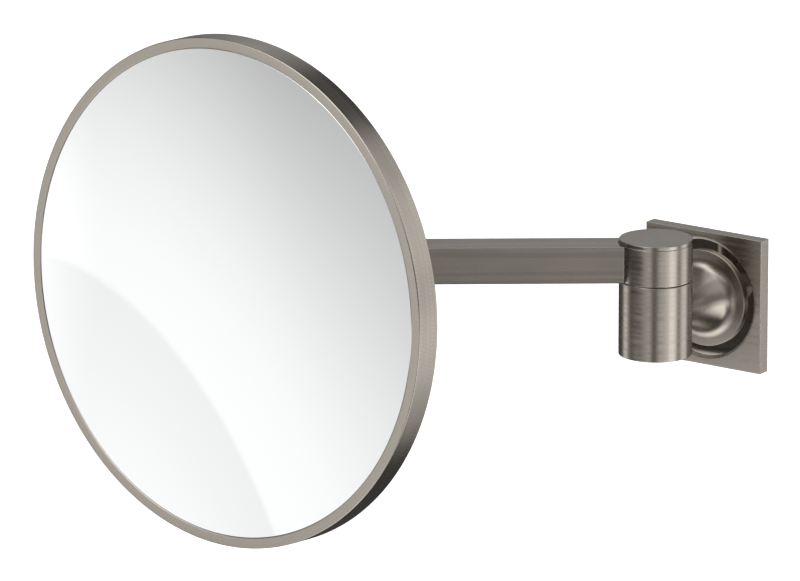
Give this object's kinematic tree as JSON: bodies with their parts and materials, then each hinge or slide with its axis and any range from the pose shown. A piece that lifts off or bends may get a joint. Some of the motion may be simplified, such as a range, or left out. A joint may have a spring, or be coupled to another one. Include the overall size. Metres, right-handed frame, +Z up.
{
  "type": "wall-mounted swing-arm magnifying mirror",
  "caption": "Round magnifying mirror in a brushed metal rim, held off the wall by a square hinged arm, a stacked round hinge and a square wall plate.",
  "frame": {"origin": "on the wall plane, at the centre of the wall plate and midway between the bracket's two wall-screw holes", "axes": "+Z up, the wall plate faces -Y away from the wall, +X to the right when facing the wall"},
  "size_m": [0.2378, 0.192, 0.2032],
  "materials": {
    "satin_graphite": "brushed satin, warm graphite metal",
    "turned_graphite": "turned satin, warm graphite metal",
    "cover_graphite": "fine satin coat in the same graphite tone",
    "silvered_glass": "polished mirror glass, dished to magnify",
    "zinc_steel": "plain zinc-plated steel",
    "black_steel": "black-oxide steel screws",
    "bronze": "plain bearing bronze",
    "black_polymer": "matt black acetal friction washers",
    "black_foam": "soft black mounting pad"
  },
  "bodies": {
    "wall_mount": {"wall_plate": "satin_graphite", "wall_bracket": "zinc_steel", "clamp_screw": "black_steel", "post": "turned_graphite", "tie_bolt": "black_steel", "dowel_pins": "zinc_steel", "lower_housing": "turned_graphite", "lower_bush": "bronze", "friction_washer": "black_polymer", "pivot_bolt": "zinc_steel", "flat_washer": "zinc_steel", "spring_washers": "zinc_steel", "lock_nut": "zinc_steel", "bottom_cap": "turned_graphite"},
    "arm": {"upper_housing": "turned_graphite", "upper_bush": "bronze", "thrust_washer": "bronze", "top_cap": "turned_graphite", "arm_bar": "satin_graphite", "arm_grub_screws": "black_steel", "end_eye": "turned_graphite", "swivel_bush": "bronze"},
    "fork": {"swivel_yoke": "satin_graphite", "swivel_washers": "black_polymer", "swivel_bolt": "zinc_steel", "swivel_spring_washer": "zinc_steel", "swivel_cap_nut": "zinc_steel", "tilt_bush": "bronze"},
    "mirror_head": {"mirror_bracket": "satin_graphite", "tilt_washers": "black_polymer", "tilt_bolt": "zinc_steel", "tilt_spring_washer": "zinc_steel", "tilt_nut": "zinc_steel", "bracket_screws": "black_steel", "carrier_plate": "zinc_steel", "carrier_screws": "zinc_steel", "backing_pad": "black_foam", "mirror_glass": "silvered_glass", "mirror_frame": "turned_graphite", "back_cover": "cover_graphite", "cover_screws": "zinc_steel"}
  },
  "joints": [
    {"name": "arm_swing", "type": "hinge", "parent": "wall_mount", "child": "arm", "pos_m": [0, -0.04, 0.023], "axis": [0, 0, 1], "range_deg": [-35, 105]},
    {"name": "mirror_swivel", "type": "hinge", "parent": "arm", "child": "fork", "pos_m": [-0.10303, -0.11596, 0.023], "axis": [0, 0, -1], "range_deg": [-50, 125]},
    {"name": "mirror_tilt", "type": "hinge", "parent": "fork", "child": "mirror_head", "pos_m": [-0.10686, -0.15577, 0.023], "axis": [0.9954, -0.0958, 0], "range_deg": [-18, 22]}
  ]
}
